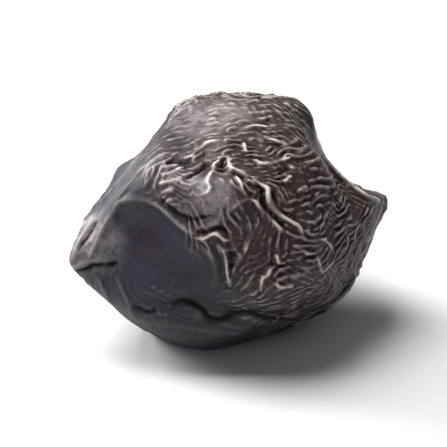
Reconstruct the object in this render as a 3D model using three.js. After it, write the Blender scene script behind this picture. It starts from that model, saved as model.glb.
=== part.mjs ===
// One dried Ajwa date, the near-black, deeply wrinkled date of Medina, lying on its side.
//
// A date is one fleshy fruit grown around a seed that never shows, so the model is one closed
// solid. It is built from the plump fruit inwards, in the order in which a real one dries:
//   1. the plump fruit: an ellipsoid, narrow at the tip (-X) and broad at the stem end (+X);
//   2. flats: faces pressed on it by its neighbours and by the flesh falling in;
//   3. strokes: long hollows and swellings where the skin sank or stayed up between hollows;
//   4. the stem scar: the round cup that the stalk left behind, with a raised rim;
//   5. the seat: the small level spot that the date rests on.
//
// Frame: millimetres, +Z up, +X from the tip to the stem end. The origin is on the ground
// under the middle of the date.

import * as THREE from "three";

// ---- Driving dimensions, in millimetres ----------------------------------------------------
// The first three are the plump fruit's. The flats take 2 to 3 mm off each, and the finished
// date is 32.8 long, 26.0 wide and 24.3 high.

const LENGTH = 36; // tip to stem end
const WIDTH = 28; // side to side
const HEIGHT = 27; // underside to crown
const CORE_HEIGHT = 12.3; // height of the middle of the plump fruit above the ground

const EDGE_SHARPNESS = 18; // how tightly the edges between the flats are rounded: higher is tighter
const MESH_DETAIL = 17; // each face of the icosahedron is cut into (MESH_DETAIL + 1) squared triangles

// ---- Flats ---------------------------------------------------------------------------------
// Each flat faces one way and lies some way out from the core. A few are broad, and the rest
// are only enough to square off a shoulder.

const FLATS = [
  { name: "long slope from the crown to the tip", faces: [-0.65, 0.48, 0.6], out: 11.7 },
  { name: "crown, towards the tip", faces: [-0.26, 0.15, 0.95], out: 11.8 },
  { name: "crown, near side", faces: [-0.05, -0.28, 0.96], out: 11.9 },
  { name: "crown, towards the stem", faces: [0.22, 0.18, 0.96], out: 12.9 },
  { name: "near side, towards the tip", faces: [-0.85, -0.46, 0.27], out: 12.2 },
  { name: "near side, middle", faces: [-0.2, -0.94, 0.26], out: 12.4 },
  { name: "near side, towards the stem", faces: [0.43, -0.86, 0.28], out: 12.9 },
  { name: "near side, low by the tip", faces: [-0.52, -0.8, -0.31], out: 12.0 },
  { name: "near side, low in the middle", faces: [0.15, -0.8, -0.58], out: 11.9 },
  { name: "near side, low by the stem", faces: [0.57, -0.78, -0.27], out: 13.1 },
  { name: "near side, under", faces: [0, -0.66, -0.75], out: 11.7 },
  { name: "tip, below", faces: [-0.85, -0.11, -0.51], out: 14.5 },
  { name: "tip, under", faces: [-0.63, -0.28, -0.72], out: 13.1 },
  { name: "stem end, high on the near side", faces: [0.74, -0.28, 0.61], out: 13.0 },
  { name: "stem end, high on the far side", faces: [0.6, 0.5, 0.62], out: 13.4 },
  { name: "stem end, below", faces: [0.72, 0.35, -0.6], out: 12.8 },
  { name: "stem end", faces: [0.98, 0.15, 0.1], out: 15.6 },
  { name: "far side, high", faces: [0.1, 0.85, 0.5], out: 12.2 },
  { name: "far side, towards the stem", faces: [0.55, 0.8, -0.15], out: 12.8 },
  { name: "far side, towards the tip", faces: [-0.4, 0.9, -0.1], out: 11.8 },
  { name: "far side, low", faces: [0, 0.75, -0.66], out: 12.0 },
  { name: "far side, low by the tip", faces: [-0.65, 0.65, -0.35], out: 12.8 },
];

// ---- Strokes -------------------------------------------------------------------------------
// A stroke is a soft trough (rise below zero) or ridge (rise above zero) that follows a line
// over the surface. Its points are measured from the core and are pressed onto the surface.

const STROKES = [
  // The tip, where the end of the fruit away from the stalk dries to a short lip.
  { name: "lip of the tip", rise: 1.3, width: 2.4, through: [[-15, 2, -2], [-14, 1, -0.5]] },
  { name: "fold under the lip", rise: -0.5, width: 1.2, through: [[-14.5, 1.5, -3], [-13, -1.5, -0.5]] },
  {
    name: "edge of the long slope",
    rise: 0.45,
    width: 1.3,
    through: [[-14, 1.5, 0], [-12.5, 1, 2.5], [-11, 1, 4.5], [-9.5, -2, 7], [-8, -1.5, 9.5], [-4, 3, 10.5]],
  },
  // The near side.
  { name: "broad hollow by the tip", rise: -1.1, width: 3.8, through: [[-11, -4, 2.5], [-9, -8, 0]] },
  { name: "mound", rise: 0.9, width: 2.4, through: [[-8, -5.5, 8], [-4.5, -9, 8.5]] },
  { name: "hollow above the mound", rise: -0.6, width: 1.8, through: [[-7, -4, 10], [-5, -5, 10.5]] },
  { name: "hollow beside the mound", rise: -0.5, width: 1.6, through: [[-2, -7, 10], [-2.5, -9.5, 8.5]] },
  {
    name: "keel from the crown to the stem",
    rise: 0.55,
    width: 1.5,
    through: [[-2.5, -4, 11], [-2, -9, 9], [-1, -10, 8], [1, -11.5, 5], [2.5, -12.5, 2]],
  },
  { name: "hollow below the keel", rise: -0.5, width: 2.6, through: [[-5, -11, 3], [-3, -11.5, 3]] },
  { name: "hollow behind the keel", rise: -0.4, width: 2.4, through: [[3, -9, 8], [6, -10, 3.5]] },
  {
    name: "fold along the belly",
    rise: -0.7,
    width: 1.2,
    through: [[-12, -4.5, -4], [-10, -6.5, -3.5], [-8, -8.5, -3.5], [-6, -9.5, -4.5], [-2.5, -11, -5], [3, -9, -7]],
  },
  { name: "roll under the belly fold", rise: 0.4, width: 1.6, through: [[-10.5, -4, -7], [-4, -9, -7]] },
  // The stem end.
  { name: "shoulder of the crown", rise: 0.9, width: 2.8, through: [[8, 1, 11], [9.5, 3, 10]] },
  { name: "dip behind the crown", rise: -1.3, width: 2.6, through: [[9, -5, 9.5], [10.5, -7, 6]] },
  { name: "corner of the stem end", rise: 0.9, width: 1.8, through: [[12, -7.5, 2.5], [14.5, -5, 1]] },
  { name: "fold from the scar to the crown", rise: -0.6, width: 1.3, through: [[15, 1, 4], [10, 2, 9], [5, 3, 11]] },
  { name: "fold from the scar down", rise: -0.5, width: 1.2, through: [[15, 2, -3], [10, 3, -8]] },
  // The far side.
  { name: "long trough", rise: -1.3, width: 2.4, through: [[-9, 9, 2], [-2, 11, 4], [5, 11, 3]] },
  { name: "ridge above the long trough", rise: 0.6, width: 1.5, through: [[-9, 7, 6], [-1, 8.5, 8], [7, 9, 6]] },
  { name: "ridge below the long trough", rise: 0.5, width: 1.5, through: [[-10, 8, -2], [-2, 12, -1], [6, 11, -2]] },
  { name: "cross fold", rise: -0.6, width: 1.2, through: [[2, 11, 4], [4, 11, -3], [2, 8, -9]] },
  { name: "hollow by the tip", rise: -0.8, width: 2.6, through: [[-11, 5, -5], [-7, 6, -8]] },
  { name: "hollow by the stem", rise: -0.8, width: 2.4, through: [[10, 9, 1], [9, 6, 7]] },
];

// ---- Stem scar -----------------------------------------------------------------------------

const SCAR_FACES = new THREE.Vector3(1, 0.05, 0.12).normalize();
const SCAR_RADIUS = 2.4; // the cup's mouth
const SCAR_DEPTH = 1.8;
const RIM_RADIUS = 4.2; // the swollen shoulder round the cup
const RIM_RISE = 0.5;

// ---- Shape ---------------------------------------------------------------------------------

const bell = (distance, width) => Math.exp(-((distance / width) ** 2));

// How far the plump fruit with its flats reaches from the core in a unit direction.
function pressedRadius(direction) {
  const plump = Math.hypot(
    (2 * direction.x) / LENGTH,
    (2 * direction.y) / WIDTH,
    (2 * direction.z) / HEIGHT,
  );
  let sum = plump ** EDGE_SHARPNESS;
  for (const flat of FLATS) {
    const cosine = direction.dot(flat.normal);
    if (cosine > 0) sum += (cosine / flat.out) ** EDGE_SHARPNESS;
  }
  return sum ** (-1 / EDGE_SHARPNESS);
}

// The rise or fall that all the strokes give at a point of the pressed surface.
function strokeRise(point) {
  const nearest = new THREE.Vector3();
  let rise = 0;
  for (const stroke of STROKES) {
    let distance = Infinity;
    for (const line of stroke.lines) {
      line.closestPointToPoint(point, true, nearest);
      distance = Math.min(distance, nearest.distanceTo(point));
    }
    rise += stroke.rise * bell(distance, stroke.width);
  }
  return rise;
}

// The cup of the stem scar and the rim round it.
function scarRise(direction, radius) {
  if (direction.dot(SCAR_FACES) < 0) return 0;
  const offAxis = radius * direction.clone().cross(SCAR_FACES).length();
  const cup = SCAR_DEPTH * bell(offAxis, SCAR_RADIUS);
  const rim = RIM_RISE * bell(offAxis - RIM_RADIUS, RIM_RADIUS / 3);
  return rim - cup;
}

function surfacePoint(direction) {
  const pressed = pressedRadius(direction);
  const onFlats = direction.clone().multiplyScalar(pressed);
  const radius = pressed + strokeRise(onFlats) + scarRise(direction, pressed);
  const point = direction.clone().multiplyScalar(radius);
  point.z = Math.max(point.z + CORE_HEIGHT, 0); // the seat: nothing sinks below the ground
  return point;
}

function prepare() {
  for (const flat of FLATS) flat.normal = new THREE.Vector3(...flat.faces).normalize();
  for (const stroke of STROKES) {
    const points = stroke.through.map((place) => {
      const direction = new THREE.Vector3(...place).normalize();
      return direction.clone().multiplyScalar(pressedRadius(direction));
    });
    stroke.lines = points.slice(1).map((end, i) => new THREE.Line3(points[i], end));
  }
}

function dateGeometry() {
  prepare();
  const geometry = new THREE.IcosahedronGeometry(1, MESH_DETAIL);
  const places = geometry.getAttribute("position");
  const direction = new THREE.Vector3();
  for (let i = 0; i < places.count; i++) {
    direction.fromBufferAttribute(places, i).normalize();
    places.setXYZ(i, ...surfacePoint(direction));
  }
  geometry.computeBoundingBox();
  const middle = geometry.boundingBox.getCenter(new THREE.Vector3());
  geometry.translate(-middle.x, -middle.y, 0); // the origin is under the middle of the date
  geometry.computeVertexNormals();
  return geometry;
}

// ---- The date ------------------------------------------------------------------------------

const skin = new THREE.MeshStandardMaterial({
  color: new THREE.Color(0.045, 0.036, 0.038),
  roughness: 0.5,
  metalness: 0,
});

const fruit = new THREE.Mesh(dateGeometry(), skin);
fruit.name = "date";

const date = new THREE.Group();
date.add(fruit);

export default date;
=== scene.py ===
# %% [markdown]
# # One dried Ajwa date
#
# An Ajwa date is a small, near-black date. While it dries, the flesh shrinks and the skin
# doesn't, so the skin is left too big for the fruit. It sinks into hollows, stands up in
# sharp crests between them, and creeps together in fine, nearly parallel wrinkles.
#
# The solid model already has the large form: the flats, the hollows and the stem scar. This
# script dresses it: a fine mesh is grown from the solid, crests and wrinkles are pressed into
# it, and the skin gets its colour and shine.

# %% Load the frame
import math

import bpy
import numpy as np
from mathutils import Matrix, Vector
from mathutils.kdtree import KDTree


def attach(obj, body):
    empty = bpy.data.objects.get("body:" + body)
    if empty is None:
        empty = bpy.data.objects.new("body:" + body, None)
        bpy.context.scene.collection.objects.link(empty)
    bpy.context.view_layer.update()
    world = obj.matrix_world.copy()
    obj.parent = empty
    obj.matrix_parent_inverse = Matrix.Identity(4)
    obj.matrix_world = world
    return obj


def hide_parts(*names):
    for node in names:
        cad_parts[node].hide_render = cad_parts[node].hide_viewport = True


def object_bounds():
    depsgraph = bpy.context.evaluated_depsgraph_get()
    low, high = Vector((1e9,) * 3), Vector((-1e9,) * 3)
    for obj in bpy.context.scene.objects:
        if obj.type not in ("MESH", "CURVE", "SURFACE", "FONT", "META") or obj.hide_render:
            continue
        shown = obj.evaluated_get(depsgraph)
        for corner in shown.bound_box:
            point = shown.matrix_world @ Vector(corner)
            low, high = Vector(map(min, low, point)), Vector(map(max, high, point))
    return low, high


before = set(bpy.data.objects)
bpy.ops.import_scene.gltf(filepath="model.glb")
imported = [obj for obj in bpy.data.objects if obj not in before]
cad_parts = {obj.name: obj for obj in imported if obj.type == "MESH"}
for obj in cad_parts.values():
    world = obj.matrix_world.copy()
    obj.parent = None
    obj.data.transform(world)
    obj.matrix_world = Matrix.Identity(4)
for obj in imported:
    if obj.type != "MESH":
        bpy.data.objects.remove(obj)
cad_low, cad_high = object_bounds()
MM = 0.001  # Blender works in metres, and this script thinks in millimetres
print("solid, mm:", [round(v / MM, 1) for v in (*cad_low, *cad_high)])


def select_only(*pieces):
    """Operators act on all that is selected, so everything else is deselected first."""
    bpy.ops.object.select_all(action="DESELECT")
    for piece in pieces:
        piece.select_set(True)
    bpy.context.view_layer.objects.active = pieces[0]


# %% [markdown]
# ## Camera, floor and light
#
# A heap of dates is seen from a little above. A long lens far away keeps the small fruit free
# of the swelling that a close camera gives. The light is two broad soft sheets, one above and
# one behind, which lie on the skin as wide grey sheens, and a much weaker one from the left.

# %% Camera
AZIMUTH = math.radians(-30)  # the camera stands towards the tip, so the stem end is further off
ELEVATION = math.radians(28)
LENS_MM = 400
SHOT_WIDTH = 1.36  # the picture's width over the fruit's length

middle = (cad_low + cad_high) / 2
fruit_length = cad_high.x - cad_low.x
toward_camera = Vector(
    (
        math.sin(AZIMUTH) * math.cos(ELEVATION),
        -math.cos(AZIMUTH) * math.cos(ELEVATION),
        math.sin(ELEVATION),
    )
)
camera_data = bpy.data.cameras.new("camera")
camera_data.lens = LENS_MM
camera_data.clip_start = 0.01
camera = bpy.data.objects.new("camera", camera_data)
bpy.context.scene.collection.objects.link(camera)
camera_distance = SHOT_WIDTH * fruit_length * LENS_MM / camera_data.sensor_width
camera.location = middle + toward_camera * camera_distance
camera.rotation_euler = toward_camera.to_track_quat("Z", "Y").to_euler()
bpy.context.scene.camera = camera
print(f"camera {camera_distance / MM:.0f} mm from the fruit")


# %% Soft lamps
def lamp(name, place, size, power):
    """A soft white square lamp aimed at the fruit, its place and size in fruit lengths."""
    data = bpy.data.lights.new(name, "AREA")
    data.size = size * fruit_length
    data.energy = power
    light = bpy.data.objects.new(name, data)
    bpy.context.scene.collection.objects.link(light)
    light.location = middle + Vector(place) * fruit_length
    light.rotation_euler = (light.location - middle).to_track_quat("Z", "Y").to_euler()


lamp("sky_panel", (-3.0, 2.0, 11.0), 7.0, 2.8)
lamp("back_panel", (-6.4, 9.2, 6.0), 6.0, 2.8)
lamp("left_panel", (-12.0, -5.0, 5.0), 6.0, 0.25)
print("lamps:", [lamp_data.name for lamp_data in bpy.data.lights])

# %% A grey paper floor in a dim room
FLOOR_SIZE = 120  # fruit lengths, so that its edge is out of sight
FLOOR_GREY = (0.5, 0.5, 0.5, 1)
FLOOR_ROUGHNESS = 0.9
ROOM_LIGHT = 0.2

bpy.ops.mesh.primitive_plane_add(size=FLOOR_SIZE * fruit_length, location=(0, 0, 0))
floor = bpy.context.active_object
floor.name = "floor"
paper = bpy.data.materials.new("paper")
paper.use_nodes = True
paper_shader = paper.node_tree.nodes["Principled BSDF"]
paper_shader.inputs["Base Color"].default_value = FLOOR_GREY
paper_shader.inputs["Roughness"].default_value = FLOOR_ROUGHNESS
floor.data.materials.append(paper)

world = bpy.data.worlds.new("room")
world.use_nodes = True
world.node_tree.nodes["Background"].inputs["Color"].default_value = (1, 1, 1, 1)
world.node_tree.nodes["Background"].inputs["Strength"].default_value = ROOM_LIGHT
bpy.context.scene.world = world
bpy.context.scene.view_settings.view_transform = "Standard"
print(f"floor {floor.dimensions.x:.1f} m wide, room light {ROOM_LIGHT}")

# %% [markdown]
# ## The skin's mesh
#
# The solid is made of coarse loose triangles. A copy is merged, and a voxel remesh turns it
# into small even squares, the same size all over the fruit. A sphere stretched over the form
# would be the other way, but its squares would be wide on the flats and crowded in the folds.
#
# Operators and modifiers can't lay a wrinkle along a line of one's own, so the rest is done as
# a sculptor would do it, by moving the points of this mesh, but with formulas for a brush.

# %% Grow an even fine mesh from the solid
VOXEL = 0.118  # millimetres; at 0.118 a fine wrinkle is about five wide
WELD_GAP = 0.002  # millimetres; corners of triangles that lie closer than this are one point

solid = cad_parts["date"]
skin = solid.copy()
skin.data = solid.data.copy()
skin.name = "date_skin"
skin.data.name = "date_skin"
for key in list(skin.keys()):
    del skin[key]
bpy.context.scene.collection.objects.link(skin)
select_only(skin)
bpy.ops.object.mode_set(mode="EDIT")
bpy.ops.mesh.select_all(action="SELECT")
bpy.ops.mesh.remove_doubles(threshold=WELD_GAP * MM)
bpy.ops.object.mode_set(mode="OBJECT")
remesh = skin.modifiers.new("even", "REMESH")
remesh.mode = "VOXEL"
remesh.voxel_size = VOXEL * MM
bpy.ops.object.modifier_apply(modifier=remesh.name)
print("skin faces:", len(skin.data.polygons), "points:", len(skin.data.vertices))


# %% Read and write the mesh as arrays, in millimetres
def read_points(piece):
    flat = np.empty(3 * len(piece.data.vertices), np.float32)
    piece.data.vertices.foreach_get("co", flat)
    return flat.reshape(-1, 3).astype(float) / MM


def write_points(piece, points):
    piece.data.vertices.foreach_set("co", (points * MM).astype(np.float32).ravel())
    piece.data.update()


def read_normals(piece):
    flat = np.empty(3 * len(piece.data.vertices), np.float32)
    piece.data.vertex_normals.foreach_get("vector", flat)
    return flat.reshape(-1, 3).astype(float)


def read_edges(piece):
    flat = np.empty(2 * len(piece.data.edges), np.int32)
    piece.data.edges.foreach_get("vertices", flat)
    return flat.reshape(-1, 2)


def unit(vectors):
    return vectors / np.maximum(np.linalg.norm(vectors, axis=-1, keepdims=True), 1e-9)


points = read_points(skin)
edges = read_edges(skin)
neighbour_count = np.bincount(edges.ravel(), minlength=len(points)).astype(float)
print("each point has", neighbour_count.mean().round(2), "neighbours")


# %% Smooth a value over the mesh
def neighbour_mean(values):
    """For every point, the mean of a value over the points that it shares an edge with."""
    columns = values.reshape(len(values), -1)
    total = np.empty_like(columns)
    for c in range(columns.shape[1]):
        column = columns[:, c]
        total[:, c] = np.bincount(edges[:, 0], column[edges[:, 1]], len(column))
        total[:, c] += np.bincount(edges[:, 1], column[edges[:, 0]], len(column))
    return (total / neighbour_count[:, None]).reshape(values.shape)


def smoothed(values, rounds, share=0.5):
    """Each round moves every value by a share of the way to its neighbours' mean."""
    for _ in range(rounds):
        values = values + share * (neighbour_mean(values) - values)
    return values


CORE = np.array([0.2, 0.0, 12.3])  # the middle of the plump fruit; places are measured from it

points = smoothed(points, rounds=80)  # melts the coarse triangles into one soft form
write_points(skin, points)
upright = unit(smoothed(read_normals(skin), rounds=60))  # the way that a wrinkle rises
place = points - CORE
print("smooth form, mm:", points.min(0).round(2), points.max(0).round(2))


# %% Soft noise and soft masks
def soft_noise(where, size, seed, waves=24):
    """A smooth random value between about -1 and 1, that changes over about size mm."""
    dice = np.random.default_rng(seed)
    heading = unit(dice.normal(size=(waves, 3)))
    pace = 2 * math.pi / (size * dice.uniform(1.2, 2.8, waves))
    start = dice.uniform(0, 2 * math.pi, waves)
    return np.sin(where @ (heading * pace[:, None]).T + start).sum(1) * math.sqrt(2 / waves) * 0.7


def soft_step(values, low, high):
    """0 below low, 1 above high, and a soft slope between them."""
    t = np.clip((values - low) / (high - low), 0, 1)
    return t * t * (3 - 2 * t)


def spot(where, centre, radius):
    """1 within a soft round spot, 0 outside it."""
    return np.exp(-((np.linalg.norm(where - np.array(centre), axis=1) / radius) ** 4))


print("soft step at 0, a half and 1:", soft_step(np.array([0.0, 0.5, 1.0]), 0, 1))

# %% [markdown]
# ## Deeper hollows
#
# In a few places the skin has fallen in further than the solid's flats do: behind the edge that
# runs from the crown to the stem end, behind the top of the long slope, and near the stem scar.

# %% Press the hollows deeper
HOLLOWS = [
    # name, centre from the core, radius, depth, all in millimetres
    ("behind the edge of the crown", (13.5, -1, 5), 4.2, 2.6),
    ("behind the top of the long slope", (-5, 8, 8), 4.0, 1.5),
    ("behind the corner of the stem end", (15, -3.5, 3), 2.2, 0.7),
    ("above the stem scar", (14, 4, 3), 2.5, 0.9),
]
for name, centre, radius, depth in HOLLOWS:
    points = points - upright * (depth * spot(place, centre, radius))[:, None]
    place = points - CORE
write_points(skin, points)
upright = unit(smoothed(read_normals(skin), rounds=40))
print("with hollows, mm:", points.min(0).round(2), points.max(0).round(2))

# %% [markdown]
# ## Where the skin is wrinkled and where it is smooth
#
# A dried date isn't wrinkled evenly. Where a neighbour pressed on it the skin stays taut and
# dark, and where it hung free it creeps together. These spots are painted one after another,
# each over the last: how high the folds and the fine wrinkles stand there, as a share of their
# full height.

# %% Paint the strength of the folds and of the wrinkles
SPOTS = [
    # name, centre from the core and radius in millimetres, folds, wrinkles
    ("near side", (-3, -11, 3), 15, 0.1, 0.75),
    ("crown", (3, -4, 11), 8, 0.1, 1.0),
    ("shoulder by the stem", (7, -10, 3), 7, 0.15, 1.35),
    ("low by the stem", (2, -12, -3), 4.5, 0.2, 0.6),
    ("taut hollow by the tip", (-10.5, -4, 2), 4.8, 0.0, 0.0),
    ("taut hollow, lower half", (-8, -8.5, -0.5), 4.0, 0.0, 0.03),
    ("long slope", (-11.5, 1, 6), 5.0, 0.0, 0.05),
    ("top of the long slope", (-6, 1, 11), 4.0, 0.0, 0.35),
    ("behind the long slope", (-8, 5.5, 8), 4.2, 0.05, 0.15),
    ("behind the crown", (-3.5, 8.5, 8), 3.5, 0.15, 0.3),
    ("under the mound", (-7, -9, 6), 2.0, 0.0, 0.75),
    ("mound", (-6.5, -8, 9.5), 2.2, 0.0, 0.25),
    ("inside the edge of the crown", (8, -4, 8), 1.8, 0.0, 0.2),
    ("behind the edge of the crown", (12, 0.5, 7.5), 4.0, 0.0, 0.4),
    ("below the tip", (-13, -2, -4.5), 4.5, 0.0, 0.08),
    ("left of the apex", (-8, -4.5, 9.6), 2.4, 0.0, 0.6),
    ("in the hollow", (-4.2, -8, 9.7), 1.5, 0.0, 0.6),
    ("belly", (-6, -6, -8), 7.0, 0.1, 0.08),
    ("belly, towards the tip", (-10.5, 1, -8.5), 4.5, 0.0, 0.1),
    ("tip", (-15.5, 1, -0.5), 3.0, 0.0, 0.2),
    ("round the stem scar", (16, 1, 2), 5.0, 0.25, 0.8),
    ("seat", (0, 0, -12.3), 7.0, 0.2, 0.15),
]

fold_strength = 0.85 + 0.35 * soft_noise(place, 5, seed=1)
wrinkle_strength = 0.6 + 0.45 * soft_noise(place, 4, seed=2)
for name, centre, radius, folds, wrinkles in SPOTS:
    mask = spot(place, centre, radius)
    fold_strength += mask * (folds - fold_strength)
    wrinkle_strength += mask * (wrinkles - wrinkle_strength)
wrinkle_strength *= 1 + 0.3 * soft_noise(place, 1.6, seed=3)
fold_strength = np.clip(fold_strength, 0, None)
wrinkle_strength = np.clip(wrinkle_strength, 0.09, None)
print("mean strengths:", fold_strength.mean().round(2), wrinkle_strength.mean().round(2))

# %% [markdown]
# ## Which way the wrinkles run
#
# Wrinkles lie side by side like combed hair. Left alone they run from the tip to the stem.
# Near a comb stroke they follow the stroke.

# %% Comb strokes
COMB_REACH = 2.6  # millimetres
COMBS = [
    # start and end of each stroke, in millimetres from the core
    ((3.5, 2, 11.5), (7.5, -1, 11.5)),
    ((1, -1.5, 11.5), (5, -4, 11)),
    ((0.5, -7, 10), (5, -6.5, 10)),
    ((1, -9.5, 8.5), (5.5, -8.5, 8.5)),
    ((4, -10, 6.5), (9, -5.5, 5.5)),
    ((3.5, -11, 5), (8.5, -8, 5)),
    ((5.5, -11, 3), (10.5, -8.5, 3)),
    ((7.5, -10.5, 0.5), (11, -8.5, 1.5)),
    ((10, -8.5, -3), (11, -8.5, 0.5)),
    ((4, -12.5, -1), (7, -10.5, 0)),
    ((-1.5, -12.5, -0.5), (1.5, -13, -1)),
    ((-3, -12, -1.5), (-1.5, -12, 1)),
    ((-6.5, -10, 4.5), (-5.5, -10.5, -0.5)),
    ((-5, -11, 0.5), (-3, -10.5, 5.5)),
    ((-5.5, -10, -3), (1, -12, -3)),
    ((3, -7.5, -8), (7, -7, -8)),
    ((-1, -10.5, 8.5), (1.5, -12.5, 4.5)),
    ((9.5, -3.5, 7), (12.5, -6, 3.5)),
    ((-9.5, -4.5, 9), (-6.5, -4.5, 10)),
    ((-16, 1, 0), (-13.5, 1, 3.5)),
    ((-12.5, 1, 5.5), (-5.5, 2, 10.5)),
    ((-14.5, -1, -2.5), (-11, 2, -8.5)),
    ((-4.5, -9, 8.5), (-4, -10.5, 6)),
]
print("comb strokes:", len(COMBS))


# %% Comb the skin
def gap_to(where, start, end):
    """How far places are from a straight stroke, and their share of the way along it."""
    stroke = end - start
    share = np.clip((where - start) @ stroke / max(stroke @ stroke, 1e-9), 0, 1)
    return np.linalg.norm(where - start - share[:, None] * stroke, axis=1), share


def combed(where, rising):
    """The direction along the wrinkles at each place, square to the way the skin faces."""
    turn = 0.5 * soft_noise(where, 7, seed=4)
    along = np.stack([np.cos(turn), np.sin(turn), 0.6 * soft_noise(where, 8, seed=5)], 1) * 0.12
    for start, end in COMBS:
        start, end = np.array(start), np.array(end)
        gap, _ = gap_to(where, start, end)
        pull = np.exp(-((gap / COMB_REACH) ** 2))
        stroke = unit(end - start)
        same_way = np.where(along @ stroke < 0, -1, 1)
        along = along + (pull * same_way)[:, None] * stroke
    along -= (along * rising).sum(1)[:, None] * rising
    return unit(along)


print("mean way of the wrinkles:", combed(place[::50], upright[::50]).mean(0).round(2))

# %% [markdown]
# ## Fine wrinkles
#
# A texture of stripes would run on for ever and show where it repeats. Instead, thousands of
# small patches of stripes are scattered over the skin, each lying the way the skin is combed,
# and each patch is slid until its stripes meet its neighbours' stripes. Where they can't
# all meet, a wrinkle forks or ends, as on the real skin.

# %% Find the points near a place
def kd_tree(where):
    """A tree that finds near points quickly."""
    tree = KDTree(len(where))
    for i, at in enumerate(where):
        tree.insert(at, i)
    tree.balance()
    return tree


def nearest(tree, where, count):
    """For each place, the numbers of the nearest points of a KD tree and how far they are."""
    found = [tree.find_n(at, count) for at in where]
    index = np.array([[hit[1] for hit in hits] for hits in found])
    gap = np.array([[hit[2] for hit in hits] for hits in found])
    return index, gap


print("two nearest points, mm:", nearest(kd_tree(place[:1000]), place[:1], 2)[1].round(2))


# %% Scatter patches of stripes and slide them until they meet
PATCH_RADIUS = 0.9  # millimetres
SWEEPS = 16  # each slides about six patches in ten
SHARPNESS = 2.0  # how narrow the top of a wrinkle is against the valley beside it


def stripe_waves(where, rising, spacing, turn, seed):
    """The vector across the wrinkles whose length is the phase gained in a millimetre."""
    spacing = spacing * (1 + 0.2 * soft_noise(where, 6, seed=seed + 1))
    spacing *= 1 - 0.2 * spot(where, (8, -10, 2), 6)  # they are finest on the shoulder by the stem
    turn = turn + 0.22 * soft_noise(where, 2.5, seed=seed + 2)
    along = combed(where, rising)
    across = np.cross(rising, along)
    across = np.cos(turn)[:, None] * across + np.sin(turn)[:, None] * along
    return across * (2 * math.pi / spacing)[:, None]


def stripes(spacing, turn, patches, seed):
    """Height of the stripes between 0 and 1 at every point of the skin."""
    dice = np.random.default_rng(seed)
    chosen = dice.choice(len(points), patches, replace=False)
    patch_place = place[chosen]
    patch_wave = stripe_waves(patch_place, upright[chosen], spacing, turn, seed)
    tree = kd_tree(patch_place)
    near, gap = nearest(tree, patch_place, count=14)
    weight = np.exp(-((gap / (1.3 * PATCH_RADIUS)) ** 2))
    weight[:, 0] = 0  # a patch doesn't pull on itself

    # Slide: each patch takes the phase that its neighbours' stripes ask for.
    step = patch_place[:, None] - patch_place[near]
    flip = np.sign((patch_wave[:, None] * patch_wave[near]).sum(2))
    phase = dice.uniform(0, 2 * math.pi, patches)
    for _ in range(SWEEPS):
        wanted = flip * (phase[near] + (patch_wave[near] * step).sum(2))
        pull = (weight * np.exp(1j * wanted)).sum(1)
        phase = np.where(dice.random(patches) < 0.6, np.angle(pull), phase)

    # Blend: each point of the skin takes the weighted mean of the stripes of its nearest patches.
    near, gap = nearest(tree, place, count=10)
    weight = np.exp(-((gap / PATCH_RADIUS) ** 2))
    wave = stripe_waves(place, upright, spacing, turn, seed)
    flip = np.sign((wave[:, None] * patch_wave[near]).sum(2))
    wander = np.stack([soft_noise(place, 1.8, seed=seed + 3 + i) for i in range(3)], 1)
    shiver = np.stack([soft_noise(place, 0.8, seed=seed + 6 + i) for i in range(3)], 1)
    bent = place + 0.22 * spacing * wander + 0.1 * spacing * shiver
    wanted = flip * (phase[near] + (patch_wave[near] * (bent[:, None] - patch_place[near])).sum(2))
    total = (weight * np.exp(1j * wanted)).sum(1) / weight.sum(1)
    agreement = soft_step(np.abs(total), 0.1, 0.7)
    print(f"stripes {spacing} mm apart agree to", np.abs(total).mean().round(2))
    return agreement * np.exp(SHARPNESS * (np.cos(np.angle(total)) - 1))


# %% Press the wrinkles into the skin
WRINKLE_HEIGHT = 0.29  # millimetres, as are the two spacings
WRINKLE_SPACING = 0.8
CROSSING_SPACING = 0.62
CROSSING_TURN = 0.9  # radians between the wrinkles and the ones that cross them

along_hair = stripes(WRINKLE_SPACING, 0.0, patches=9000, seed=40)
across_hair = stripes(CROSSING_SPACING, CROSSING_TURN, patches=12000, seed=50)
fade = soft_step(soft_noise(place, 1.0, seed=7), -0.6, 0.7)
crossing = soft_step(soft_noise(place, 3.0, seed=10), 0.1, 0.9)
wrinkles = (0.15 + 0.85 * fade) * along_hair * (1 - 0.4 * crossing) + 0.35 * crossing * across_hair
wrinkles *= WRINKLE_HEIGHT * wrinkle_strength
print("wrinkle height, mm:", wrinkles.max().round(2))

# %% [markdown]
# ## Folds
#
# Between the taut spots the loose skin stands up in a net of sharp folds round shallow
# hollows. Cells drawn round scattered seeds give such a net: a fold stands where two seeds are
# equally near. Each cell is stretched the way the skin is combed, and noise bends its sides.

# %% Cells of the fold net
CELLS = 230
CELL_STRETCH = 1.7
FOLD_HEIGHT = 0.95  # millimetres
FOLD_WIDTH = 0.42
EDGE_SHARE = 0.62  # the part of a fold's height that is its sharp edge
FLANK_SHARE = 0.38  # and the part that is its broad flanks
FAR = 1e9  # further than anything on the fruit

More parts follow.
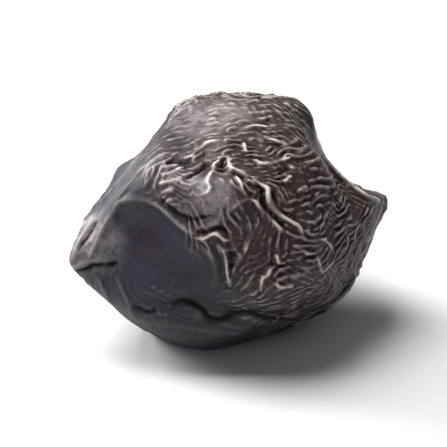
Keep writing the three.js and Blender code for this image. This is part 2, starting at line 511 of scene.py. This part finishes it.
cell = np.random.default_rng(12).choice(len(points), CELLS, replace=False)
cell_along = combed(place[cell], upright[cell])
bend = np.stack([soft_noise(place, 3, seed=20 + i) for i in range(3)], 1)
bent = place + 0.9 * bend
nearest_gap = np.full(len(points), FAR)
second_gap = np.full(len(points), FAR)
for centre, along in zip(place[cell], cell_along):
    away = bent - centre
    squared = (away**2).sum(1) - (1 - CELL_STRETCH**-2) * (away @ along) ** 2
    gap = np.sqrt(np.maximum(squared, 0))
    second_gap = np.minimum(second_gap, np.maximum(gap, nearest_gap))
    nearest_gap = np.minimum(nearest_gap, gap)
from_fold = second_gap - nearest_gap
net = EDGE_SHARE * np.exp(-from_fold / FOLD_WIDTH)
net += FLANK_SHARE * np.exp(-from_fold / (4 * FOLD_WIDTH))
broken = 0.55 + 0.45 * soft_noise(place, 4, seed=8)
folds = FOLD_HEIGHT * fold_strength * np.clip(broken, 0.1, 1.2) * net
print("fold height, mm:", folds.max().round(2))

# %% [markdown]
# ## Crests and creases drawn one by one
#
# The folds that give this date its face are drawn one by one. Each is a line over the skin
# through a few places, given as on a globe round the core: degrees of turn from the near side,
# with the stem end at 90 and the tip at -90, and degrees of climb above level. A crest rises
# with hollow flanks to a narrow edge and fades out at both ends; a crease is the same thing with
# a rise below zero. Rise and width are in millimetres, and paleness is how much dry wax has
# flaked on the edge.

# %% The crests and creases of this date
CRESTS = [
    # name, rise, width, paleness, places as (turn, climb)
    # The apex, where the near side folds together, and the lines that run out from it.
    ("apex to the left", 0.34, 0.22, 0.8, [(-33, 69), (-49, 66), (-57, 61), (-60, 56), (-65, 54)]),
    ("left of the apex, first", 0.28, 0.2, 0.45, [(-72, 45), (-68, 48), (-63, 50)]),
    ("left of the apex, second", 0.32, 0.22, 0.6, [(-70, 42), (-66, 44), (-62, 47), (-58, 49)]),
    ("left of the apex, third", 0.3, 0.2, 0.5, [(-69, 38), (-64, 40), (-59, 42), (-57, 44)]),
    ("left of the apex, fourth", 0.26, 0.2, 0.4, [(-66, 35), (-61, 37), (-57, 38)]),
    ("foot of the mound", 0.22, 0.28, 0.5, [(-63, 30), (-61, 33), (-57, 35)]),
    ("apex round the mound", 0.44, 0.22, 1.0,
     [(-36, 60), (-37, 57), (-39, 54), (-38, 50), (-39, 46),
      (-39, 43), (-38, 41), (-39, 39), (-43, 37)]),
    ("apex to the keel", 0.34, 0.24, 0.5, [(-30, 60), (-28, 55), (-25, 51), (-20, 49), (-16, 46)]),
    ("beside the hollow", 0.42, 0.22, 0.9, [(-24, 48), (-22, 44), (-21, 41), (-19, 39), (-17, 37)]),
    ("keel", 0.6, 0.24, 1.0,
     [(-15, 45), (-11, 42), (-8, 40), (-7, 37), (-6, 34), (-4, 31),
      (0, 27), (3, 24), (6, 21), (7, 18), (8, 14)]),
    ("under the keel", 0.5, 0.23, 1.0,
     [(-28, 32), (-25, 34), (-21, 36), (-17, 37), (-13, 36), (-10, 33), (-6, 28), (-3, 23), (-1, 19)]),
    ("foot of the line under the keel", 0.4, 0.24, 1.0, [(3, 13), (6, 11), (9, 7)]),
    ("shelf of the hollow", 0.42, 0.22, 1.0,
     [(-46, 21), (-40, 21), (-35, 23), (-32, 22), (-30, 20), (-27, 19)]),
    ("left strut", 0.4, 0.22, 0.9,
     [(-33, 19), (-31, 14), (-30, 10), (-29, 5), (-28, 0), (-28, -4)]),
    ("right strut", 0.34, 0.2, 0.8,
     [(-25, 6), (-22, 12), (-20, 17), (-18, 21), (-16, 24), (-13, 27), (-12, 30)]),
    ("beside the right strut", 0.3, 0.22, 0.6, [(-21, 23), (-19, 26), (-17, 28)]),
    ("low strut", 0.42, 0.25, 1.0, [(-9, 6), (-11, 2), (-13, 0), (-14, -7)]),
    ("short strut", 0.3, 0.22, 0.8, [(-5, 11), (-5, 6)]),
    # The crown and the side towards the stem.
    ("crown, first", 0.3, 0.24, 0.9, [(0, 77), (32, 74), (43, 67), (47, 62), (57, 58)]),
    ("crown, second", 0.34, 0.24, 1.0, [(10, 68), (24, 62), (29, 56), (46, 54)]),
    ("crown, third", 0.36, 0.24, 1.0,
     [(-5, 56), (-3, 53), (2, 52), (9, 51), (17, 50), (27, 50), (35, 49)]),
    ("crown, fourth", 0.28, 0.24, 0.7, [(14, 46), (23, 44), (35, 42)]),
    ("crown, fifth", 0.34, 0.24, 1.0, [(4, 41), (9, 42), (15, 42)]),
    ("crown, sixth", 0.32, 0.24, 0.9, [(11, 35), (16, 36), (21, 35)]),
    ("crown, across", 0.3, 0.24, 0.9, [(-8, 68), (-11, 60)]),
    ("towards the stem, first", 0.28, 0.22, 0.7, [(22, 30), (27, 31), (35, 30)]),
    ("towards the stem, second", 0.28, 0.22, 0.6, [(14, 21), (25, 20), (32, 21), (37, 23)]),
    ("towards the stem, third", 0.3, 0.24, 0.8, [(18, 15), (22, 17), (26, 16)]),
    ("towards the stem, fourth", 0.28, 0.22, 0.6, [(44, 11), (38, 10), (33, 9)]),
    ("towards the stem, steep", 0.28, 0.22, 0.6, [(41, 24), (41, 20), (43, 15)]),
    ("near the stem, first", 0.28, 0.24, 0.6, [(39, 5), (36, 0), (33, -4)]),
    ("near the stem, second", 0.26, 0.24, 0.5, [(49, 6), (45, 3), (43, -2)]),
    ("low on the stem side, first", 0.32, 0.24, 0.8, [(16, 13), (20, 10), (23, 7), (25, 3)]),
    ("low on the stem side, second", 0.3, 0.24, 0.8,
     [(13, 6), (14, 2), (17, -3), (22, -2), (26, -1)]),
    ("ring on the stem side, low", 0.28, 0.24, 0.7, [(-7, -1), (-5, -4), (-1, -5), (3, -5)]),
    ("ring on the stem side, high", 0.24, 0.22, 0.6, [(0, -1), (4, -1)]),
    ("edge of the crown", 0.65, 0.26, 0.6,
     [(94, 51), (80, 45), (66, 38), (61, 29), (59, 21), (57, 16), (58, 12), (63, 8), (67, 5)]),
    ("corner of the stem end", 0.35, 0.4, 0.2, [(67, 5), (61, -2), (59, -10)]),
    ("edge of the underside", 0.32, 0.4, 0.35,
     [(30, -8), (27, -11), (29, -18), (30, -24), (31, -34)]),
    # The tip and the long slope.
    ("rim of the long slope", 0.45, 0.34, 0.2,
     [(-91, -3), (-90, 3), (-91, 8), (-91, 13), (-90, 18), (-88, 25), (-82, 29), (-75, 31)]),
    ("outer line of the tip", 0.36, 0.34, 0.3,
     [(-98, -6), (-95, 1), (-97, 7), (-100, 13), (-105, 20)]),
    ("edge of the tip", 0.3, 0.34, 0.15, [(-98, -6), (-94, -4), (-90, -1), (-86, 0)]),
    ("hollow of the tip", -0.3, 0.45, 0, [(-94, 1), (-94, 7), (-95, 13)]),
    ("streak along the long slope, low", 0.3, 0.26, 0.2, [(-108, 12), (-104, 28), (-108, 50)]),
    ("streak along the long slope, high", 0.3, 0.26, 0.2, [(-90, 22), (-86, 35), (-78, 48)]),
    ("crease along the long slope", -0.2, 0.34, 0, [(-99, 18), (-97, 30), (-99, 42), (-93, 50)]),
    ("crease under the lip", -0.55, 0.36, 0,
     [(-97, -8), (-92, -6), (-89, -3), (-85, -2), (-82, -1)]),
    ("below the tip, far", 0.22, 0.28, 0.1, [(-89, -7), (-87, -14), (-88, -24)]),
    ("below the tip, near", 0.22, 0.28, 0.1,
     [(-82, -5), (-79, -10), (-77, -15), (-77, -22), (-80, -30)]),
    # The hollows that the crests stand over.
    ("brow of the hollow", 0.32, 0.42, 0,
     [(-88, 25), (-82, 29), (-75, 31), (-66, 30), (-57, 27), (-49, 24), (-43, 22)]),
    ("side of the hollow", 0.18, 0.45, 0, [(-43, 20), (-37, 10), (-34, 0), (-37, -7)]),
    ("gap beside the keel", -0.55, 0.24, 0,
     [(-14, 43), (-10, 40), (-9, 37), (-8, 33), (-6, 30), (-4, 27), (-1, 23)]),
    ("gap behind the keel", -0.35, 0.28, 0, [(-5, 40), (-4, 36), (-2, 32), (1, 28), (5, 24)]),
    ("gap over the shelf", -0.4, 0.36, 0, [(-44, 24), (-37, 24), (-32, 25), (-27, 23)]),
    ("depth of the hollow", -0.45, 0.5, 0, [(-33, 59), (-32, 54), (-32, 49)]),
    ("gap over the hollow", -0.3, 0.3, 0, [(-26, 51), (-22, 48), (-18, 45)]),
    ("gap under the mound", -0.45, 0.5, 0, [(-66, 33), (-56, 30), (-47, 29), (-40, 30), (-33, 30)]),
    ("faint line across the taut hollow", 0.1, 0.5, 0,
     [(-64, 23), (-55, 19), (-49, 15), (-43, 11), (-40, 5)]),
    ("faint crease in the taut hollow", -0.1, 0.7, 0, [(-78, 3), (-65, 0), (-53, 5)]),
    ("faint crease higher up", -0.1, 0.6, 0, [(-76, 17), (-69, 12), (-61, 9)]),
    ("gap between the struts", -0.3, 0.36, 0, [(-27, 14), (-27, 9), (-26, 5)]),
    ("gap left of the apex", -0.4, 0.4, 0, [(-54, 43), (-49, 47), (-46, 51), (-44, 56)]),
    ("gap left of the apex, high", -0.3, 0.35, 0, [(-71, 48), (-64, 52), (-56, 53)]),
    ("gap on the crown, first", -0.25, 0.26, 0, [(13, 63), (20, 60), (26, 57)]),
    ("gap on the crown, second", -0.25, 0.26, 0, [(27, 55), (35, 53), (41, 52)]),
    ("gap on the crown, third", -0.28, 0.26, 0, [(5, 46), (11, 46), (17, 45)]),
    ("belly crease, left", -0.3, 0.36, 0, [(-76, -19), (-70, -22), (-64, -20)]),
    ("belly crease", -0.45, 0.42, 0,
     [(-58, -18), (-51, -17), (-43, -21), (-39, -26), (-32, -27),
      (-25, -25), (-15, -26), (18, -46), (30, -48)]),
    ("roll under the belly", 0.2, 0.5, 0, [(-74, -28), (-58, -28), (-40, -32), (-15, -36)]),
]
crease_count = sum(rise < 0 for _, rise, *_ in CRESTS)
print("crests:", len(CRESTS) - crease_count, "creases:", crease_count)


# %% Curves through places on a globe
def facing(turn, climb):
    """Ways out from the core, each one unit long."""
    turn, climb = np.radians(turn), np.radians(climb)
    return np.stack([np.sin(turn) * np.cos(climb), -np.cos(turn) * np.cos(climb), np.sin(climb)], 1)


def curve_through(places, steps=8):
    """A smooth curve through a few places, as a dense list of points."""
    ends = np.vstack([2 * places[0] - places[1], places, 2 * places[-1] - places[-2]])
    t = np.linspace(0, 1, steps, endpoint=False)[:, None]
    dense = []
    for a, b, c, d in zip(ends, ends[1:], ends[2:], ends[3:]):
        turning = (2 * a - 5 * b + 4 * c - d) * t**2 + (3 * b - a - 3 * c + d) * t**3
        dense.append(0.5 * (2 * b + (c - a) * t + turning))
    return np.vstack([*dense, places[-1:]])


print("the near side faces", facing([0.0], [0.0])[0].round(2))

# %% Lay a curve on the skin
EVERY = 4  # one point in four is enough to find how far out the skin lies
NEAR_A_LINE = 3.5  # millimetres round a line's own box; the skin beyond is left alone

from_core = np.linalg.norm(place, axis=1)
way_tree = kd_tree(unit(place[::EVERY]))
waver = np.stack([soft_noise(place, 2.4, seed=30 + i) for i in range(3)], 1) * 0.15
wavering = place + waver  # lines drawn over this come out a little shaky


def laid_on_skin(places):
    """A curve on the skin through (turn, climb) places, with the small bumps under it evened out."""
    line = unit(curve_through(facing(*np.array(places, float).T)))
    reaches = np.array([from_core[EVERY * way_tree.find(way)[1]] for way in line])
    return line * np.convolve(np.pad(reaches, 2, "edge"), np.ones(5) / 5, "valid")[:, None]


def skin_near(line):
    """Which points are near a line, how far from it, and their share of the way along it."""
    within = (place > line.min(0) - NEAR_A_LINE) & (place < line.max(0) + NEAR_A_LINE)
    close = np.flatnonzero(within.all(1))
    best = np.full(len(close), FAR)
    along = np.zeros(len(close))
    for i, (start, end) in enumerate(zip(line, line[1:])):
        gap, share = gap_to(wavering[close], start, end)
        nearer = gap < best
        best[nearer] = gap[nearer]
        along[nearer] = (i + share[nearer]) / (len(line) - 1)
    return close, best, along


print("the skin lies", from_core.min().round(1), "to", from_core.max().round(1), "mm from the core")

# %% Draw the crests and creases
FLANKS = 3.5  # a crest's flanks reach this many widths out

swell = np.clip(1 + 0.25 * soft_noise(place, 1.6, seed=33), 0.75, 1.3)  # widths change on the way
crests = np.zeros(len(points))
creases = np.zeros(len(points))
pale = np.zeros(len(points))
for name, rise, width, paleness, places in CRESTS:
    close, best, along = skin_near(laid_on_skin(places))
    taper = np.sqrt(np.clip(np.minimum(along, 1 - along) * 4.5, 0, 1))
    edge = np.exp(-((best / (width * swell[close])) ** 1.5))
    profile = EDGE_SHARE * edge + FLANK_SHARE * np.exp(-best / (FLANKS * width))
    height = abs(rise) * (0.1 + 0.9 * taper) * profile
    if rise > 0:
        crests[close] = np.maximum(crests[close], height)
        pale[close] = np.maximum(pale[close], paleness * edge**1.5 * taper)
    else:
        creases[close] = np.maximum(creases[close], height)
print(len(CRESTS), "lines drawn by hand, highest", crests.max().round(2), "mm")

# %% [markdown]
# ## The stem scar
#
# Where the stalk came off, the fruit keeps a small ragged cup with torn fibres in it. The cup
# is in the solid already. Here it gets a torn lip, a rough floor of fibres that point to the
# middle, and a pit where the stalk's core pulled out.

# %% Tear the scar
SCAR_AXIS = unit(np.array([1, 0.05, 0.12]))  # the way that the stalk pointed
LIP_RADIUS = 2.5  # millimetres, as are all the sizes here
LIP_WIDTH = 0.3
LIP_HEIGHT = 0.38
FLOOR_FADE = (1.9, 2.4)  # the floor of fibres ends between these radii
SKIN_FADE = (2.3, 3.2)  # and the skin's own wrinkles begin between these
PIT_RADIUS = 0.3
PIT_WIDTH = 0.6
PIT_DEPTH = 0.8

height_on_axis = place @ SCAR_AXIS
from_axis = place - height_on_axis[:, None] * SCAR_AXIS
scar_radius = np.linalg.norm(from_axis, axis=1)
scar_radius[height_on_axis < 0] = FAR
ragged = scar_radius + 0.45 * soft_noise(place, 1.4, seed=60)
ragged = ragged + 0.12 * soft_noise(place, 0.5, seed=61)
lip = np.exp(-(((ragged - LIP_RADIUS) / LIP_WIDTH) ** 2))
floor_of_cup = 1 - soft_step(ragged, *FLOOR_FADE)
torn_apart = place + 0.5 * np.stack([soft_noise(place, 1.2, seed=64 + i) for i in range(3)], 1)
fan = unit(from_axis) * 2.2 + 0.35 * torn_apart  # noise along this is drawn out towards the middle
strands = 1 - 2 * np.abs(soft_noise(fan, 1.1, seed=62))
shreds = 1 - 2 * np.abs(soft_noise(torn_apart, 1.3, seed=63))
scar = LIP_HEIGHT * lip + floor_of_cup * (0.3 * strands + 0.38 * shreds - 0.25)
scar -= PIT_DEPTH * np.exp(-(((ragged - PIT_RADIUS) / PIT_WIDTH) ** 2))
outside_scar = soft_step(ragged, *SKIN_FADE)
folds *= outside_scar
wrinkles *= outside_scar
print("scar points:", int((scar_radius < LIP_RADIUS).sum()))

# %% [markdown]
# ## Put the layers together
#
# Where a drawn crest stands, the wrinkles beside it are flattened, because the skin that the
# crest took up is no longer spare. Nothing may sink below the ground, and on the seat, where the
# fruit's weight presses, the skin stays almost flat.

# %% Raise the skin
SEAT_HEIGHT = 0.8  # millimetres; below this the skin grows flatter towards the ground
LEVELLED = 0.75  # the share of the broad swelling that is taken off, to keep the fruit's size

damp = 1 - 0.8 * np.clip(crests / 0.3, 0, 1)
uneven_share = np.clip(0.3 + fold_strength + 0.5 * wrinkle_strength, 0, 1)
unevenness = 0.12 * soft_noise(place, 2.4, seed=9) * uneven_share
height = crests - creases + folds * damp + wrinkles * damp + unevenness + scar
height -= LEVELLED * smoothed(height, rounds=400)
raised = points + upright * height[:, None]
seat = soft_step(points[:, 2], 0.0, SEAT_HEIGHT)[:, None]
raised = points + (raised - points) * (0.15 + 0.85 * seat)
raised = smoothed(raised, rounds=1, share=0.4)
raised[:, 2] = np.maximum(raised[:, 2], 0)
write_points(skin, raised)
print("raised skin, mm:", raised.min(0).round(2), raised.max(0).round(2))

# %% [markdown]
# ## Marks for the finish
#
# Colour and shine change with the form: valleys get painted shade and shine less, crests are pale.
# Texture paint could show that, but it would have to be painted again after each change of the form.
# Here every point of the mesh carries a few numbers, called attributes, which the finish reads: how
# far it stands up, how wrinkled the skin is there, how much wax and painted sheen lie there, and how
# much torn flesh there is.

# %% Where the grey wax and the painted sheen lie
WAX_AND_SHEEN_SPOTS = [
    # centre from the core, radius, share of wax and painted sheen
    ((-6.5, -9, 8.5), 2.2, 1.0),
    ((-1, 1, 11.5), 4.0, 0.75),
    ((-10, 1, 7.5), 4.5, 0.22),
    ((-14.5, 1, 1.5), 3.2, 0.65),
    ((8, -4, 8), 2.0, 1.0),
    ((6, 9, 7), 4.0, 0.25),
    ((-7, 9, -3), 4.0, 0.2),
]
wax_and_sheen = np.zeros(len(points))
for centre, radius, share in WAX_AND_SHEEN_SPOTS:
    wax_and_sheen = np.maximum(wax_and_sheen, share * spot(place, centre, radius))
print("mean share of wax:", wax_and_sheen.mean().round(3))

# %% Store the marks
FULL_CREST = 0.13  # millimetres above the skin around it, at which a point counts as a full crest


def store(name, values):
    """Keep one number for every point of the skin under a name that the finish can read."""
    layer = skin.data.attributes.new(name, "FLOAT", "POINT")
    layer.data.foreach_set("value", values.astype(np.float32))


standing = ((raised - smoothed(raised, rounds=24)) * upright).sum(1)
store("crest", np.clip(standing / FULL_CREST, -1, 1))
store("pale", pale)
store("wrinkled", smoothed(np.clip(wrinkle_strength * outside_scar, 0, 1), rounds=120))
store("fibre", smoothed(floor_of_cup, rounds=2))
store("torn", np.clip(lip + 0.6 * floor_of_cup, 0, 1))
store("wax_and_sheen", wax_and_sheen)
print("crest height, mm:", np.percentile(standing, [1, 25, 50, 75, 99]).round(3))

# %% [markdown]
# ## Fewer triangles where the skin is smooth
#
# The mesh is kept under 200,000 triangles. A Decimate modifier takes them from the taut
# spots, where they aren't needed, and leaves the crests sharp.

# %% Thin the mesh
MOST_TRIANGLES = 194000
thin = skin.modifiers.new("thin", "DECIMATE")
thin.ratio = min(1.0, MOST_TRIANGLES / (2 * len(skin.data.polygons)))  # two to each square
select_only(skin)
bpy.ops.object.modifier_apply(modifier=thin.name)
skin.data.calc_loop_triangles()
print("triangles:", len(skin.data.loop_triangles))

# %% [markdown]
# ## The finish
#
# The skin is nearly black, bluish where it is taut and brown where it is wrinkled. A thin dry
# wax lies on it, which shows as grey on the taut spots, and almost white along the
# crests, where it has cracked and flaked. On the top and a few other spots where the light
# falls, the grey is partly a painted sheen.

# %% Short words for shader nodes
finish = bpy.data.materials.new("date_skin")
finish.use_nodes = True
nodes = finish.node_tree.nodes
links = finish.node_tree.links
shader = nodes["Principled BSDF"]


def attribute(name):
    node = nodes.new("ShaderNodeAttribute")
    node.attribute_name = name
    return node.outputs["Fac"]


def math_node(kind, a, b=None, c=None):
    node = nodes.new("ShaderNodeMath")
    node.operation = kind
    for socket, value in zip(node.inputs, (a, b, c)):
        if value is None:
            continue
        if isinstance(value, (int, float)):
            socket.default_value = value
        else:
            links.new(value, socket)
    return node.outputs[0]


def times(a, b):
    return math_node("MULTIPLY", a, b)


def remap(value, low, high, out_low=0.0, out_high=1.0):
    """A soft step from out_low to out_high, while the value goes from low to high."""
    node = nodes.new("ShaderNodeMapRange")
    node.interpolation_type = "SMOOTHSTEP"
    node.inputs["From Min"].default_value = low
    node.inputs["From Max"].default_value = high
    node.inputs["To Min"].default_value = out_low
    node.inputs["To Max"].default_value = out_high
    links.new(value, node.inputs["Value"])
    return node.outputs["Result"]


def mix(share, a, b):
    node = nodes.new("ShaderNodeMix")
    node.data_type = "RGBA"
    links.new(share, node.inputs["Factor"])
    for socket, value in ((node.inputs["A"], a), (node.inputs["B"], b)):
        if isinstance(value, tuple):
            socket.default_value = (*value, 1)
        else:
            links.new(value, socket)
    return node.outputs["Result"]


def noise(size, detail=3.0, roughness=0.55):
    """Cloudy noise whose clouds are about size millimetres wide."""
    node = nodes.new("ShaderNodeTexNoise")
    node.inputs["Scale"].default_value = 1 / (size * MM)
    node.inputs["Detail"].default_value = detail
    node.inputs["Roughness"].default_value = roughness
    links.new(coordinates.outputs["Object"], node.inputs["Vector"])
    return node.outputs["Fac"]


coordinates = nodes.new("ShaderNodeTexCoord")
print("nodes so far:", len(nodes))

# %% Colours of the skin
TAUT = (0.0045, 0.0058, 0.0155)
TAUT_PURPLE = (0.0115, 0.0065, 0.0115)
BROWN = (0.029, 0.0165, 0.0145)
VALLEY_SHADE = (0.004, 0.002, 0.002)
WAX_AND_SHEEN_GREY = (0.2, 0.175, 0.175)
WAX = (0.16, 0.138, 0.134)
FLAKE = (0.52, 0.44, 0.41)
TORN_BROWN = (0.045, 0.016, 0.008)
FIBRE_TAN = (0.36, 0.17, 0.07)
print("lightest colour:", FLAKE, "darkest:", VALLEY_SHADE)

# %% Lay the colours over one another
crest = attribute("crest")
wrinkled = attribute("wrinkled")
patchy = noise(3.0)
grain = noise(0.25, detail=4)

# Brown where the skin is wrinkled, bluish or purple where it is taut, grey under the wax bloom and
# under the painted sheen of the lit spots.
browned = math_node("ADD", wrinkled, times(patchy, 0.5))
how_brown = remap(browned, 0.3, 1.2)
taut = mix(remap(noise(5.0), 0.45, 0.7), TAUT, TAUT_PURPLE)
colour = mix(how_brown, taut, BROWN)
wax_and_sheen_share = attribute("wax_and_sheen")
clouds = remap(noise(1.0, detail=5, roughness=0.65), 0.35, 0.62, 0.3, 1.0)
colour = mix(times(wax_and_sheen_share, clouds), colour, WAX_AND_SHEEN_GREY)

# Painted shade in the valleys, and wax on the wrinkles between them.
colour = mix(remap(crest, -0.1, -0.6), colour, VALLEY_SHADE)
creeping = times(crest, remap(wrinkled, 0.0, 0.5, 0.25, 1.0))
wax = times(remap(creeping, 0.0, 0.44), remap(grain, 0.2, 0.6, 0.5, 1.0))
colour = mix(wax, colour, WAX)

# White flakes along the edges, and specks of wax anywhere on the wrinkled skin.
drawn = times(attribute("pale"), remap(noise(1.0), 0.35, 0.6, 0.55, 1.0))
edge = math_node("MULTIPLY_ADD", creeping, 0.6, drawn)
specks = times(remap(noise(0.5, detail=3), 0.55, 0.7, 0.0, 0.5), remap(wrinkled, 0.3, 0.8))
colour = mix(specks, colour, WAX)
flaked = times(remap(edge, 0.4, 1.0), remap(noise(1.1), 0.2, 0.5, 0.35, 1.0))
flaked = times(flaked, remap(grain, 0.25, 0.55, 0.6, 1.0))
colour = mix(flaked, colour, FLAKE)

# Torn flesh and fibres in the stem scar.
colour = mix(remap(attribute("torn"), 0.25, 0.8), colour, TORN_BROWN)
lit_fibres = times(remap(crest, -0.6, 0.9), remap(noise(0.6), 0.3, 0.6, 0.5, 1.0))
fibres = mix(lit_fibres, TORN_BROWN, FIBRE_TAN)
colour = mix(remap(attribute("fibre"), 0.5, 0.95), colour, fibres)
links.new(colour, shader.inputs["Base Color"])
print("nodes with the colours:", len(nodes))

# %% Shine and grain
GRAIN_STRENGTH = 0.5
GRAIN_HEIGHT = 0.06  # millimetres

# The reflection is turned down in the hollows: painted shade for the shadow inside the crevices, which
# also dims the taut skin a little.
shine_with_painted_shade = remap(crest, -0.5, 0.35, 0.08, 0.42)  # hollows shine less
links.new(shine_with_painted_shade, shader.inputs["Specular IOR Level"])
satin = remap(wrinkled, 0.0, 0.6, 0.56, 0.44)
satin = math_node("SUBTRACT", satin, 0.05)  # the grain then adds up to 0.1
links.new(math_node("MULTIPLY_ADD", grain, 0.1, satin), shader.inputs["Roughness"])
relief = math_node("ADD", times(grain, 0.5), noise(0.7, detail=2))
bump = nodes.new("ShaderNodeBump")
bump.inputs["Strength"].default_value = GRAIN_STRENGTH
bump.inputs["Distance"].default_value = GRAIN_HEIGHT * MM
links.new(relief, bump.inputs["Height"])
links.new(bump.outputs["Normal"], shader.inputs["Normal"])
print("nodes in the finish:", len(nodes))

# %% Put the finish on the skin
skin.data.materials.clear()
skin.data.materials.append(finish)
skin.data.shade_smooth()
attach(skin, "root")
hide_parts("date")
